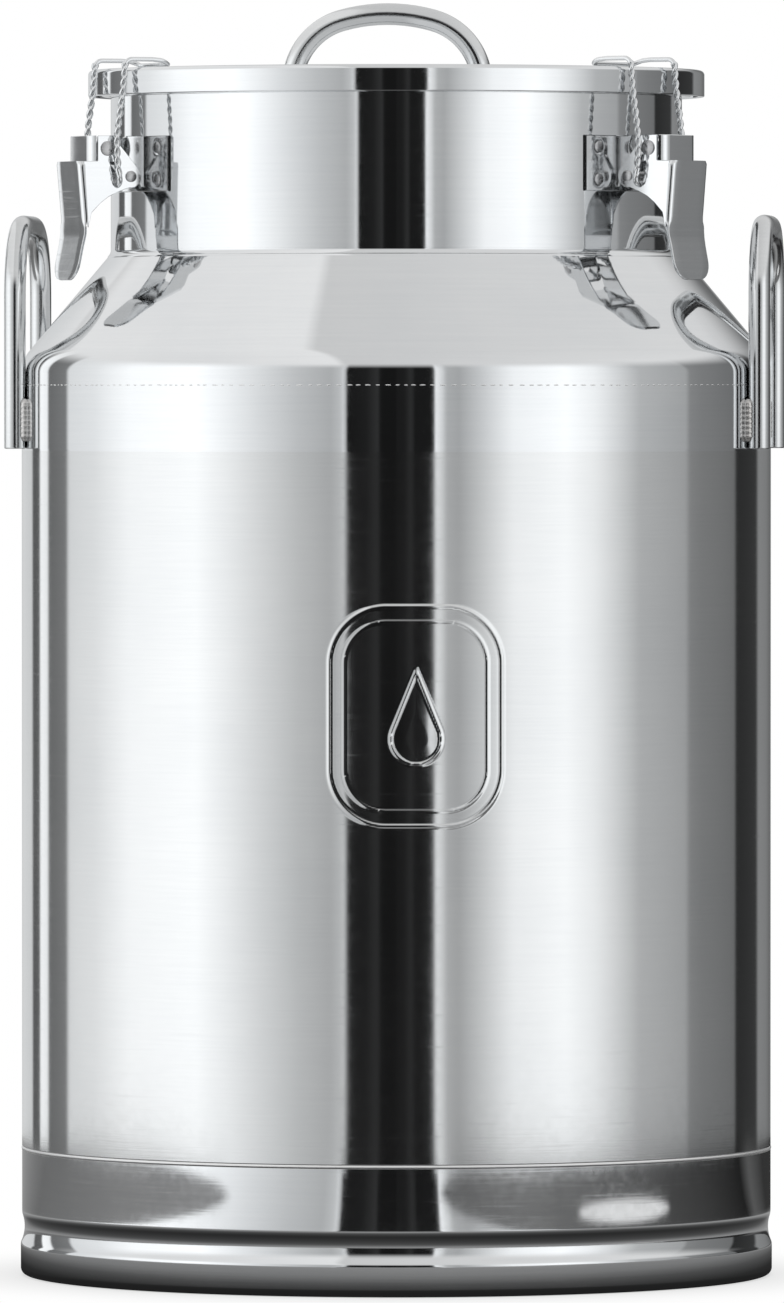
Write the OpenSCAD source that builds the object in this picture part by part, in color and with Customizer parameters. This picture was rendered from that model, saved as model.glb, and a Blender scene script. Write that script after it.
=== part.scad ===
// Sealed stainless-steel milk can: spun can body with a foot ring, a loose lid with a gasket,
// two side handles and three over-centre latches with wire bails.
// Origin at the centre of the base underside, +Z up, front towards -Y, side handles on +X and -X.

/* [Can] */
// Outer diameter of the barrel
can_d = 326.6; // [322:0.2:332]
// Height of the corner where the barrel and the shoulder cone would meet
barrel_top = 398.5; // [392:0.1:404]
// Slope of the shoulder cone from horizontal
cone_angle = 50; // [48:0.5:52]
// Outer diameter of the neck
neck_d = 249; // [247:0.5:251]
// Sheet thickness of barrel, shoulder, neck and bottom
sheet = 1.2; // [1:0.1:1.5]
// Outer radius of the bend between barrel and shoulder
shoulder_bend = 15; // [10:1:20]
// Height of the weld seam between barrel and shoulder
shoulder_seam_z = 386.9; // [380:0.1:388]
// Height of the weld seam between bottom pan and barrel
bottom_seam_z = 54.6; // [45:0.1:65]

/* [Base] */
// Outer diameter of the foot ring
foot_d = 327.8; // [326:0.2:334]
// Height of the foot ring, up to the middle of the rolled groove
foot_h = 21; // [16:0.5:24]
// Diameter at the bottom of the rolled groove
groove_d = 324.4; // [322:0.2:326]
// Radius of the rolled groove's section
groove_r = 15.75; // [12:0.25:18]
// Height of the raised middle of the floor above its edge
floor_rise = 5; // [2:0.5:8]

/* [Lid] */
// Height of the lid's top face above the ground
lid_z = 524.5; // [522:0.5:527]
// Outer diameter of the lid skirt
lid_d = 268.6; // [267:0.2:270]
// Height of the lid skirt
skirt_h = 11.5; // [10.5:0.5:12.5]
// Diameter of the recess in the middle of the lid
recess_d = 218; // [200:1:220]
// Depth of the recess in the middle of the lid
recess_depth = 10.5; // [6:0.5:12]
// Diameter of the lid handle's rod
lid_rod_d = 9.5; // [8:0.5:11]
// Distance between the feet of the lid handle, centre to centre
lid_handle_span = 81.5; // [78:0.5:90]
// Bend radius of the lid handle's shoulders, at the rod's centre
lid_handle_bend = 30; // [27:0.5:32]
// Height of the lid handle above the lid's top face
lid_handle_rise = 29.5; // [26:0.5:34]
// Sideways offset of the lid handle from the can's axis
lid_handle_shift = -4; // [-6:0.5:6]

/* [Side handles] */
// Diameter of the side handles' rod
side_rod_d = 9.4; // [8:0.1:12]
// Distance between the legs of a side handle, centre to centre
side_span = 90; // [70:1:100]
// Height of the top of a side handle
side_top_z = 461.5; // [450:0.5:475]
// Height of the lower ends of a side handle
side_foot_z = 360; // [350:1:366]
// Bend radius of a side handle's corners, at the rod's centre
side_bend = 30; // [20:1:34]

/* [Latches] */
// Radial distance of the lever's pivot outside the neck
pivot_out = 18; // [17.5:0.1:18.5]
// Depth of the lever's pivot below the lid's top face
pivot_drop = 35; // [34.5:0.1:35.5]
// Diameter of the lever's pivot pin
pivot_d = 5; // [4:0.5:6]
// Running clearance between a pin and its hole, on the radius
pin_fit = 0.05; // [0.03:0.01:0.1]
// Outer width of the lever
lever_w = 27; // [26:0.5:28]
// Sheet thickness of lever and latch base
latch_sheet = 1.2; // [1:0.1:1.3]
// Envelope diameter of a bail leg, which is a twisted pair of wires
bail_d = 4.2; // [3.6:0.1:4.4]
// Distance between the two legs of a bail, centre to centre
bail_span = 33; // [32.6:0.2:36]
// Gap between the closed bail and the lid
bail_gap = 0.3; // [0.3:0.05:0.5]

/* [Badge] */
// Width of the embossed cartouche
badge_w = 77; // [60:1:90]
// Height of the embossed cartouche
badge_h = 96; // [80:1:110]
// Height of the middle of the cartouche above the ground
badge_z = 247; // [200:1:280]
// Turn of the cartouche away from the front, towards +X
badge_turn = 8.6; // [0:0.2:15]
// How far the embossing stands proud
badge_rise = 0.7; // [0.4:0.1:1]

/* [Hidden] */
$fn = 96;
fine = 720;
can_r = can_d / 2;
neck_r = neck_d / 2;
foot_r = foot_d / 2;
lid_r = lid_d / 2;
recess_r = recess_d / 2;

// Shoulder: bend and cone
bend_z = barrel_top - shoulder_bend * tan((90 - cone_angle) / 2);
cone_normal = [-sin(cone_angle), -cos(cone_angle)];
cone_start = [can_r - shoulder_bend * (1 - cos(90 - cone_angle)), bend_z + shoulder_bend * sin(90 - cone_angle)];
neck_z = barrel_top + (can_r - neck_r) * tan(cone_angle);
cone_drop = sheet / cos(cone_angle);

// Foot ring at the groove
foot_wall = 3.2;

// Weld beads
bead_h = 1.5;
bead_crown = 0.3;
neck_bead = 1.6;

// Neck rim and gasket
rim_wire = 6;
rim_z = lid_z - 8.5;
gasket_gap = 0.1;
gasket_in = 2.5;
gasket_lip = [1.5, 3];

// Lid
skirt_edge = 2;
floor_z = lid_z - recess_depth;
lid_bend = 3;
hem = 1.4;

// Side handles
side_leg_x = sqrt(pow(can_r + side_rod_d / 2, 2) - pow(side_span / 2, 2));
side_leg_turn = asin(side_span / 2 / (can_r + side_rod_d / 2));
weld_len = 17;
weld_r = 2.3;

// Latches: places are [distance from the can's axis, height]
latch_left = 210;
latch_right = 330;
latch_rear = 90;
pivot = [neck_r + pivot_out, lid_z - pivot_drop];
hook = pivot + [-4.3, -15.5];
spacer = pivot + [-10.8, -12];
spacer_d = 4;
corner_r = 4.9;
lever_top = pivot[1] + 5;
web_top = pivot[1] - 5.5;
tongue_bend = [pivot[0] + 10.8, pivot[1] - 36];
tongue_tip = [pivot[0] + 15.1, pivot[1] - 56.5];
web_out = pivot[0] + 13.5;
web_lean = atan2(web_out - tongue_bend[0], web_top - tongue_bend[1]);
channel_r = 4;
band_out = pivot[0] + 9;
band_r = 5;
slit = [pivot[0] + 5.2, 0.9];
tongue_w = lever_w - 0.8;
tongue_corner = 8;
ear_out = lever_w / 2 - latch_sheet - 0.2;
ear_r = 5.5;
ear_notch = 10.9;
base_h = 24;
base_turn = 14;
head_h = 0.6;
wire_d = 2.6;
bail_bend = 6;
bail_peak = lid_z + bail_gap + bail_d / 2;
bail_tip = neck_r - 10.5;
bail_end = 2.2;
tip_bend = 5;
spot_d = 5;
spot_rise = 0.35;

// ---- shared shapes ----

// Part of a flat ring between two angles at most 180 degrees apart
module ring_sector(centre, outer, inner, from, to) {
    far = 4 * outer;
    middle = (from + to) / 2;
    translate(centre) intersection() {
        difference() {
            circle(r = outer);
            circle(r = inner);
        }
        polygon([[0, 0], far * [cos(from), sin(from)], far * [cos(middle), sin(middle)], far * [cos(to), sin(to)]]);
    }
}

// Rectangle between two corners
module panel(low, high) {
    translate(low) square([high[0] - low[0], high[1] - low[1]]);
}

// Rectangle with round corners about the origin
module round_panel(w, h, r) {
    square([w - 2 * r, h], center = true);
    square([w, h - 2 * r], center = true);
    for (x = [-1, 1], y = [-1, 1]) translate([x * (w / 2 - r), y * (h / 2 - r)]) circle(r = r);
}

// Ring around the can's axis from a section in [radius, height]
module spun() {
    rotate_extrude($fn = 180) children();
}

// Round rod between two points
module rod(from, to, d) {
    run = to - from;
    length = norm(run);
    translate(from) rotate([0, acos(run[2] / length), atan2(run[1], run[0])]) cylinder(d = d, h = length, $fn = 32);
}

// Arc of round rod in the XZ plane, counted from +X towards +Z
module rod_arc(centre, radius, d, from, sweep) {
    translate(centre) rotate([90, 0, 0]) rotate([0, 0, from])
        rotate_extrude(angle = sweep) translate([radius, 0]) circle(d = d, $fn = 32);
}

// Sheet or bar cut to an outline in [distance from the axis, height], across the latch
module across(width) {
    rotate([90, 0, 0]) linear_extrude(width, center = true) children();
}

// ---- can body ----

// Bead that fills the gap between two edges of the wall and stands slightly proud
module wall_bead(z) {
    spun() {
        panel([can_r - sheet, z], [can_r, z + bead_h]);
        intersection() {
            translate([can_r - 1, z + bead_h / 2]) circle(r = 1 + bead_crown);
            panel([can_r - sheet, z], [can_r + 1, z + bead_h]);
        }
    }
}

module bottom_seam() {
    color("lightsteelblue") wall_bead(bottom_seam_z);
}

module shoulder_seam() {
    color("lightsteelblue") wall_bead(shoulder_seam_z);
}

// Plain drop in a double outline
module cartouche() {
    drop_r = badge_w * 0.14;
    drop_h = badge_h * 0.3;
    lean = asin(drop_r / drop_h);
    difference() {
        round_panel(badge_w, badge_h, badge_w / 3);
        round_panel(badge_w - 7, badge_h - 7, badge_w / 3 - 3.5);
    }
    difference() {
        round_panel(badge_w - 14, badge_h - 14, badge_w / 3 - 7);
        round_panel(badge_w - 17, badge_h - 17, badge_w / 3 - 8.5);
    }
    translate([0, -drop_h / 3]) {
        circle(r = drop_r);
        polygon([[0, drop_h], drop_r * [cos(lean), sin(lean)], drop_r * [-cos(lean), sin(lean)]]);
    }
}

module barrel() {
    color("silver") {
        spun() panel([can_r - sheet, bottom_seam_z + bead_h], [can_r, shoulder_seam_z]);
        rotate([0, 0, badge_turn - 90]) intersection() {
            difference() {
                cylinder(r = can_r + badge_rise, h = shoulder_seam_z, $fn = 180);
                translate([0, 0, -1]) cylinder(r = can_r - sheet / 2, h = shoulder_seam_z + 2, $fn = 180);
            }
            translate([0, 0, badge_z]) rotate([90, 0, 90]) linear_extrude(can_d) cartouche();
        }
    }
}

module groove(grow = 0) {
    translate([groove_d / 2 + groove_r, foot_h]) circle(r = groove_r + grow);
}

module bottom_pan() {
    step_r = can_r * 0.72;
    color("gainsboro") spun() {
        difference() {
            panel([step_r, foot_h], [can_r, bottom_seam_z]);
            groove();
            difference() {
                panel([step_r - 1, foot_h + sheet], [can_r - sheet, bottom_seam_z + 1]);
                groove(sheet);
            }
        }
        polygon([
            [0, foot_h + floor_rise], [step_r - floor_rise, foot_h + floor_rise], [step_r, foot_h],
            [step_r, foot_h + sheet], [step_r - floor_rise, foot_h + floor_rise + sheet],
            [0, foot_h + floor_rise + sheet]
        ]);
    }
}

module foot_ring() {
    edge = 3;
    inner = groove_d / 2 - foot_wall;
    color("silver") spun() difference() {
        union() {
            panel([inner, edge], [foot_r, foot_h]);
            panel([inner, 0], [foot_r - edge, foot_h]);
            translate([foot_r - edge, edge]) circle(r = edge);
        }
        groove();
        panel([0, -1], [inner, foot_h + 1]);
    }
}

module shoulder() {
    turn = 90 - cone_angle;
    neck_corner = [neck_r, neck_z];
    color("gainsboro") spun() {
        panel([can_r - sheet, shoulder_seam_z + bead_h], [can_r, bend_z]);
        ring_sector([can_r - shoulder_bend, bend_z], shoulder_bend, shoulder_bend - sheet, 0, turn);
        polygon([cone_start, neck_corner, neck_corner - [0, cone_drop], cone_start + sheet * cone_normal]);
    }
}

module neck() {
    color("gainsboro") spun() panel([neck_r - sheet, neck_z - cone_drop], [neck_r, rim_z]);
}

module neck_seam() {
    color("lightsteelblue") spun() difference() {
        translate([neck_r, neck_z]) circle(r = neck_bead, $fn = 32);
        panel([0, neck_z - 5], [neck_r, neck_z + 5]);
        polygon([
            [neck_r, neck_z], [neck_r, neck_z - 20], [neck_r + 20, neck_z - 20],
            [neck_r + 10, neck_z - 10 * tan(cone_angle)]
        ]);
    }
}

module neck_rim() {
    color("gainsboro") spun() difference() {
        translate([neck_r + rim_wire * 0.4, rim_z]) circle(d = rim_wire, $fn = 48);
        panel([0, rim_z - rim_wire], [neck_r, rim_z]);
        panel([0, rim_z - rim_wire], [neck_r - sheet, rim_z + rim_wire]);
    }
}

module side_handle(side) {
    low = side_foot_z;
    top = side_top_z - side_rod_d / 2;
    leg = side_span / 2;
    flat = leg - side_bend;
    color("silver") translate([side * side_leg_x, 0, 0]) rotate([0, 0, 90]) {
        for (s = [-1, 1]) {
            rod([s * leg, 0, low], [s * leg, 0, top - side_bend], side_rod_d);
            rod_arc([s * flat, 0, top - side_bend], side_bend, side_rod_d, s > 0 ? 0 : 90, 90);
        }
        rod([-flat, 0, top], [flat, 0, top], side_rod_d);
    }
}

// Beads in the two valleys between each handle leg and the barrel
module handle_welds() {
    color("lightsteelblue") for (side = [0, 180], leg = [-1, 1]) rotate([0, 0, side + leg * side_leg_turn])
        for (s = [-1, 1]) difference() {
            translate([can_r + 0.9, s * 3.5, side_foot_z + 4]) {
                cylinder(r = weld_r, h = weld_len);
                sphere(r = weld_r);
                translate([0, 0, weld_len]) sphere(r = weld_r);
            }
            cylinder(r = can_r, h = lid_z, $fn = fine);
            translate([can_r + side_rod_d / 2, 0, 0]) cylinder(d = side_rod_d, h = lid_z, $fn = fine);
        }
}

// ---- lid ----

module lid_shell() {
    t = sheet;
    wall = recess_r - t;
    color("gainsboro") spun() {
        panel([lid_r - t, lid_z - skirt_h], [lid_r, lid_z - skirt_edge]);
        panel([lid_r - t - hem, lid_z - skirt_h], [lid_r - t, lid_z - skirt_h + t]);
        ring_sector([lid_r - skirt_edge, lid_z - skirt_edge], skirt_edge, skirt_edge - t, 0, 90);
        panel([recess_r + lid_bend - t, lid_z - t], [lid_r - skirt_edge, lid_z]);
        ring_sector([recess_r + lid_bend - t, lid_z - lid_bend], lid_bend, lid_bend - t, 90, 180);
        panel([wall, floor_z + lid_bend - t], [recess_r, lid_z - lid_bend]);
        ring_sector([recess_r - lid_bend, floor_z + lid_bend - t], lid_bend, lid_bend - t, 270, 360);
        panel([0, floor_z - t], [recess_r - lid_bend, floor_z]);
    }
}

module lid_gasket() {
    top = lid_z - sheet;
    low = rim_z + rim_wire / 2 + gasket_gap;
    outer = lid_r - skirt_edge;
    color("whitesmoke") spun() {
        panel([neck_r - gasket_in, low], [outer, top]);
        panel([outer - gasket_lip[0], low - gasket_lip[1]], [outer, low]);
    }
}

module lid_handle() {
    top = lid_z + lid_handle_rise - lid_rod_d / 2;
    flat = lid_handle_span / 2 - lid_handle_bend;
    color("silver") translate([lid_handle_shift, 0, 0]) {
        for (s = [-1, 1]) {
            rod([s * lid_handle_span / 2, 0, floor_z], [s * lid_handle_span / 2, 0, top - lid_handle_bend], lid_rod_d);
            rod_arc([s * flat, 0, top - lid_handle_bend], lid_handle_bend, lid_rod_d, s > 0 ? 0 : 90, 90);
        }
        rod([-flat, 0, top], [flat, 0, top], lid_rod_d);
    }
}

module lid_handle_welds() {
    color("lightsteelblue") for (s = [-1, 1]) translate([lid_handle_shift + s * lid_handle_span / 2, 0, floor_z])
        difference() {
            cylinder(d1 = lid_rod_d + 5, d2 = lid_rod_d + 1, h = 2, $fn = 48);
            translate([0, 0, -1]) cylinder(d = lid_rod_d, h = 5, $fn = 32);
        }
}

// ---- latches, modelled with the distance from the axis along +X ----

// Outline of a lever's cheeks and tongue, seen from the side
module lever_outline() {
    from = spacer + corner_r * [cos(146), sin(146)];
    polygon([
        spacer, from, [pivot[0] - 5.2, lever_top], [web_out + 1, lever_top],
        [web_out + 1, tongue_bend[1]], [tongue_bend[0] - 0.7, pivot[1] - 30],
        [pivot[0] + 5.5, pivot[1] - 25.2], [pivot[0] + 0.5, pivot[1] - 21.6],
        [pivot[0] - 4.5, pivot[1] - 19], spacer + corner_r * [cos(280), sin(280)]
    ]);
    translate(spacer) circle(r = corner_r);
}

// Channel section open towards the neck, its back at x = 0
module channel(depth, r) {
    difference() {
        union() {
            panel([-depth, -lever_w / 2], [-r, lever_w / 2]);
            panel([-r, r - lever_w / 2], [0, lever_w / 2 - r]);
            for (s = [-1, 1]) translate([-r, s * (lever_w / 2 - r)]) circle(r = r);
        }
        panel([-depth - 1, latch_sheet - lever_w / 2], [-r, lever_w / 2 - latch_sheet]);
        panel([-r - 1, r - lever_w / 2], [-latch_sheet, lever_w / 2 - r]);
        for (s = [-1, 1]) translate([-r, s * (lever_w / 2 - r)]) circle(r = r - latch_sheet);
    }
}

// Lower part of the lever, leaning inwards as it goes down
module lever_channel() {
    intersection() {
        translate([web_out, 0, web_top]) rotate([0, web_lean, 0])
            translate([0, 0, -50]) linear_extrude(50) channel(50, channel_r);
        across(lever_w + 2) intersection() {
            lever_outline();
            panel([0, 0], [lid_r * 2, web_top]);
        }
    }
}

// Upper part of the lever, a rounder band that is bent in over the pivot
module lever_band() {
    intersection() {
        translate([band_out, 0, 0]) linear_extrude(lid_z) channel(50, band_r);
        across(lever_w + 2) difference() {
            lever_outline();
            panel([0, 0], [lid_r * 2, web_top - 2]);
            panel([slit[0] + slit[1] + 2, web_top - 3], [lid_r * 2, web_top + 0.6]);
            panel([slit[0], web_top + 0.6], [slit[0] + slit[1], lever_top + 1]);
            polygon([[slit[0] + 0.1, lever_top + 1], [slit[0] - 3, lever_top + 1], [slit[0] + 0.1, lever_top - 3]]);
        }
    }
}

// Side view of the tongue: two straight runs with a bend between them
module tongue_side() {
    t = latch_sheet;
    lower_lean = atan2(tongue_tip[0] - tongue_bend[0], tongue_bend[1] - tongue_tip[1]);
    upper_n = [cos(web_lean), -sin(web_lean)];
    lower_n = [cos(lower_lean), sin(lower_lean)];
    upper = tongue_bend + 14 * [sin(web_lean), cos(web_lean)];
    polygon([
        upper, tongue_bend, tongue_tip, tongue_tip - t * lower_n,
        tongue_bend - t * (upper_n + lower_n) / (1 + upper_n * lower_n), upper - t * upper_n
    ]);
}

module lever_tongue() {
    low = tongue_tip[1];
    high = tongue_bend[1] + 13.5;
    intersection() {
        across(tongue_w) tongue_side();
        translate([0, 0, (low + high) / 2]) rotate([90, 0, 90]) linear_extrude(lid_r * 2) union() {
            round_panel(tongue_w, high - low, tongue_corner);
            panel([-tongue_w / 2, 0], [tongue_w / 2, (high - low) / 2]);
        }
    }
}

module lever(turn) {
    color("silver") rotate([0, 0, turn]) difference() {
        union() {
            lever_channel();
            lever_band();
            lever_tongue();
        }
        across(lever_w + 4) {
            translate(pivot) circle(d = pivot_d, $fn = 48);
            translate(spacer) circle(d = spacer_d, $fn = 48);
            translate(hook) circle(r = wire_d / 2 + pin_fit, $fn = 48);
        }
    }
}

// Pin along the latch's width with a low round head at each end
module headed_pin(place, shank, head) {
    translate([place[0], 0, place[1]]) rotate([90, 0, 0]) {
        cylinder(d = shank, h = lever_w, center = true, $fn = 48);
        for (s = [-1, 1]) translate([0, 0, s * (lever_w + head_h) / 2])
            cylinder(d = head, h = head_h, center = true, $fn = 48);
    }
}

module pivot_pin(turn) {
    color("dimgray") rotate([0, 0, turn]) headed_pin(pivot, pivot_d, pivot_d + 1.4);
}

module spacer_pin(turn) {
    color("dimgray") rotate([0, 0, turn]) headed_pin(spacer, spacer_d, spacer_d + 0.8);
}

// Curved plate on the neck with two ears that carry the pivot pin
module latch_base(turn) {
    top = pivot[1] + ear_r;
    far = neck_d;
    color("lightgray") rotate([0, 0, turn]) {
        intersection() {
            translate([0, 0, top - base_h]) difference() {
                cylinder(r = neck_r + latch_sheet, h = base_h, $fn = 180);
                translate([0, 0, -1]) cylinder(r = neck_r, h = base_h + 2, $fn = 180);
            }
            linear_extrude(lid_z)
                polygon([[0, 0], far * [cos(base_turn), -sin(base_turn)], far * [cos(base_turn), sin(base_turn)]]);
        }
        difference() {
            for (s = [-1, 1]) translate([0, s * (ear_out - latch_sheet / 2), 0]) across(latch_sheet) {
                difference() {
                    panel([neck_r - 2, pivot[1] - ear_r], [pivot[0], top]);
                    ring_sector(pivot, ear_notch, ear_r, 80, 193);
                }
                translate(pivot) circle(r = ear_r);
                polygon([
                    [neck_r - 2, top - base_h + 2], [neck_r + 1.5, top - base_h + 2],
                    [neck_r + 4.5, pivot[1] - ear_r], [neck_r - 2, pivot[1] - ear_r]
                ]);
            }
            cylinder(r = neck_r, h = lid_z, $fn = 180);
            across(lever_w) translate(pivot) circle(r = pivot_d / 2 + pin_fit, $fn = 48);
        }
    }
}

module latch_spot_welds() {
    color("gray") for (turn = [latch_left, latch_right, latch_rear], side = [-1, 1], z = [5, 19])
        rotate([0, 0, turn + side * (base_turn - 3.4)])
            translate([neck_r + latch_sheet, 0, pivot[1] + ear_r - z]) rotate([0, 90, 0])
                cylinder(d = spot_d, h = spot_rise, $fn = 48);
}

// Wire bail: two legs hooked into the lever, bent over the lid's edge and joined on top of it
module bail(turn) {
    leg = bail_span / 2;
    out = hook[0];
    bend_z = bail_peak - bail_bend;
    color("gainsboro") rotate([0, 0, turn]) {
        for (s = [-1, 1]) {
            rod([out, s * leg, hook[1]], [out, s * (lever_w / 2 - latch_sheet - 1), hook[1]], wire_d);
            rod([out, s * leg, hook[1] - bail_end], [out, s * leg, bend_z], bail_d);
            rod_arc([out - bail_bend, s * leg, bend_z], bail_bend, bail_d, 0, 90);
            rod([bail_tip + tip_bend, s * leg, bail_peak], [out - bail_bend, s * leg, bail_peak], bail_d);
            translate([bail_tip + tip_bend, s * (leg - tip_bend), bail_peak]) rotate([0, 0, s > 0 ? 90 : 180])
                rotate_extrude(angle = 90) translate([tip_bend, 0]) circle(d = bail_d, $fn = 32);
        }
        rod([bail_tip, tip_bend - leg, bail_peak], [bail_tip, leg - tip_bend, bail_peak], bail_d);
    }
}

barrel();
bottom_pan();
foot_ring();
shoulder();
neck();
neck_rim();
bottom_seam();
shoulder_seam();
neck_seam();
side_handle(-1);  // side_handle_left
side_handle(1);  // side_handle_right
handle_welds();
latch_base(latch_left);  // latch_base_left
latch_base(latch_right);  // latch_base_right
latch_base(latch_rear);  // latch_base_rear
latch_spot_welds();
lid_shell();
lid_gasket();
lid_handle();
lid_handle_welds();
lever(latch_left);  // lever_left
lever(latch_right);  // lever_right
lever(latch_rear);  // lever_rear
pivot_pin(latch_left);  // pivot_pin_left
pivot_pin(latch_right);  // pivot_pin_right
pivot_pin(latch_rear);  // pivot_pin_rear
spacer_pin(latch_left);  // spacer_pin_left
spacer_pin(latch_right);  // spacer_pin_right
spacer_pin(latch_rear);  // spacer_pin_rear
bail(latch_left);  // bail_left
bail(latch_right);  // bail_right
bail(latch_rear);  // bail_rear
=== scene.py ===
import math
import random

import bpy
import numpy as np
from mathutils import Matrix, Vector
from mathutils.geometry import tessellate_polygon


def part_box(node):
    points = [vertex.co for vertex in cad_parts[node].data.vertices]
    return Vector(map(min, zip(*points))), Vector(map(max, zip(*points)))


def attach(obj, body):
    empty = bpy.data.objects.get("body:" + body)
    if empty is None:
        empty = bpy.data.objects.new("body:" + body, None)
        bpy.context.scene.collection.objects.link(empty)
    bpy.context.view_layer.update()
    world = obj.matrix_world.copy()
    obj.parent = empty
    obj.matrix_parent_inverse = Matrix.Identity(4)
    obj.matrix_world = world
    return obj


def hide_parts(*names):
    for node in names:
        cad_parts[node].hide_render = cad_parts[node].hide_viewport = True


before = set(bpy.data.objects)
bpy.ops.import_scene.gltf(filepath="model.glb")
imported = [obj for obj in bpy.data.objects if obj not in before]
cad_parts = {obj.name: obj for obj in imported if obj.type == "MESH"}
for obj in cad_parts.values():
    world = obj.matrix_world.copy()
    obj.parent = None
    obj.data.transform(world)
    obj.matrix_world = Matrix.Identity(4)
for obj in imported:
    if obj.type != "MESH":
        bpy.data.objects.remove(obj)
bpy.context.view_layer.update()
MM = 0.001
random.seed(7)

# Camera direction as seen from the can, and the picture's right, both level
CAMERA_TURN = math.radians(5.65)
TO_CAMERA = Vector((math.sin(CAMERA_TURN), -math.cos(CAMERA_TURN), 0))
TO_RIGHT = Vector((math.cos(CAMERA_TURN), math.sin(CAMERA_TURN), 0))


# ---------------------------------------------------------------- sizes from the CAD model, in mm


def size(node):
    low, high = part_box(node)
    return low / MM, high / MM


def radius(node):
    low, high = size(node)
    return (high.x - low.x) / 2


SHEET = 1.2
CAN_R = radius("bottom_pan")
NECK_R = radius("neck")
LID_R = radius("lid_shell")
FOOT_R = radius("foot_ring")
FOOT_H = size("foot_ring")[1].z
BARREL_LOW, BARREL_HIGH = size("barrel")[0].z, size("barrel")[1].z
PAN_HIGH = size("bottom_pan")[1].z
SHOULDER_LOW, NECK_Z = size("shoulder")[0].z, size("shoulder")[1].z
NECK_LOW, RIM_Z = size("neck")[0].z, size("neck")[1].z
LID_Z = size("lid_shell")[1].z
SKIRT_LOW = LID_Z - 11.5  # lower edge of the lid's rolled rim
FLOOR_Z = size("lid_handle")[0].z


# ---------------------------------------------------------------- node helpers


def tree_of(mat):
    mat.use_nodes = True
    nt = mat.node_tree
    nt.nodes.clear()
    return nt


def add(nt, kind, **values):
    node = nt.nodes.new(kind)
    for key, value in values.items():
        if hasattr(node, key):
            setattr(node, key, value)
        else:
            node.inputs[key.replace("_", " ")].default_value = value
    return node


def math_node(nt, operation, a, b=None, c=None):
    node = nt.nodes.new("ShaderNodeMath")
    node.operation = operation
    for i, v in enumerate((a, b, c)):
        if v is None:
            continue
        if isinstance(v, (int, float)):
            node.inputs[i].default_value = v
        else:
            nt.links.new(v, node.inputs[i])
    return node.outputs[0]


def map_range(nt, value, low, high, to_low, to_high, smooth=False):
    node = nt.nodes.new("ShaderNodeMapRange")
    node.interpolation_type = "SMOOTHSTEP" if smooth else "LINEAR"
    nt.links.new(value, node.inputs["Value"])
    for key, v in (("From Min", low), ("From Max", high), ("To Min", to_low), ("To Max", to_high)):
        node.inputs[key].default_value = v
    return node.outputs["Result"]


def ramp(nt, fac, stops):
    """Colour ramp from (position, grey or colour) pairs."""
    node = nt.nodes.new("ShaderNodeValToRGB")
    els = node.color_ramp.elements
    while len(els) > 1:
        els.remove(els[-1])
    for i, (pos, col) in enumerate(stops):
        e = els[0] if i == 0 else els.new(pos)
        e.position = pos
        e.color = (col, col, col, 1) if isinstance(col, float) else (*col, 1)
    nt.links.new(fac, node.inputs["Fac"])
    return node.outputs["Color"]


def mix_colour(nt, fac, a, b):
    node = nt.nodes.new("ShaderNodeMix")
    node.data_type = "RGBA"
    for socket, v in ((node.inputs[0], fac), (node.inputs[6], a), (node.inputs[7], b)):
        if isinstance(v, float):
            socket.default_value = v
        elif isinstance(v, tuple):
            socket.default_value = (*v, 1)
        else:
            nt.links.new(v, socket)
    return node.outputs[2]


def noise(nt, coords, scale, detail=3.0, stretch=(1, 1, 1), rough=0.55):
    mapping = nt.nodes.new("ShaderNodeMapping")
    mapping.inputs["Scale"].default_value = stretch
    nt.links.new(coords, mapping.inputs["Vector"])
    node = nt.nodes.new("ShaderNodeTexNoise")
    node.inputs["Scale"].default_value = scale
    node.inputs["Detail"].default_value = detail
    node.inputs["Roughness"].default_value = rough
    nt.links.new(mapping.outputs[0], node.inputs["Vector"])
    return node.outputs["Fac"]


def along(nt, vector, axis):
    """How far a vector reaches along a fixed axis."""
    node = nt.nodes.new("ShaderNodeVectorMath")
    node.operation = "DOT_PRODUCT"
    node.inputs[1].default_value = axis
    nt.links.new(vector, node.inputs[0])
    return node.outputs["Value"]


def mix_shaders(nt, fac, a, b):
    node = nt.nodes.new("ShaderNodeMixShader")
    for socket, v in zip(node.inputs, (fac, a, b)):
        nt.links.new(v, socket)
    return node.outputs[0]


def glow(nt, kind, colour):
    """Emission or background node with a linked or a fixed colour."""
    node = nt.nodes.new(kind)
    if isinstance(colour, tuple):
        node.inputs["Color"].default_value = colour
    else:
        nt.links.new(colour, node.inputs["Color"])
    return node.outputs[0]


def bump(nt, height, distance, normal=None):
    node = nt.nodes.new("ShaderNodeBump")
    node.inputs["Distance"].default_value = distance
    nt.links.new(height, node.inputs["Height"])
    if normal is not None:
        nt.links.new(normal, node.inputs["Normal"])
    return node.outputs["Normal"]


def shader(nt, **values):
    bsdf = nt.nodes.new("ShaderNodeBsdfPrincipled")
    out = nt.nodes.new("ShaderNodeOutputMaterial")
    nt.links.new(bsdf.outputs[0], out.inputs["Surface"])
    for key, v in values.items():
        socket = bsdf.inputs[key.replace("_", " ")]
        if isinstance(v, bpy.types.NodeSocket):
            nt.links.new(v, socket)
        else:
            socket.default_value = v
    return bsdf


# ---------------------------------------------------------------- materials


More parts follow.
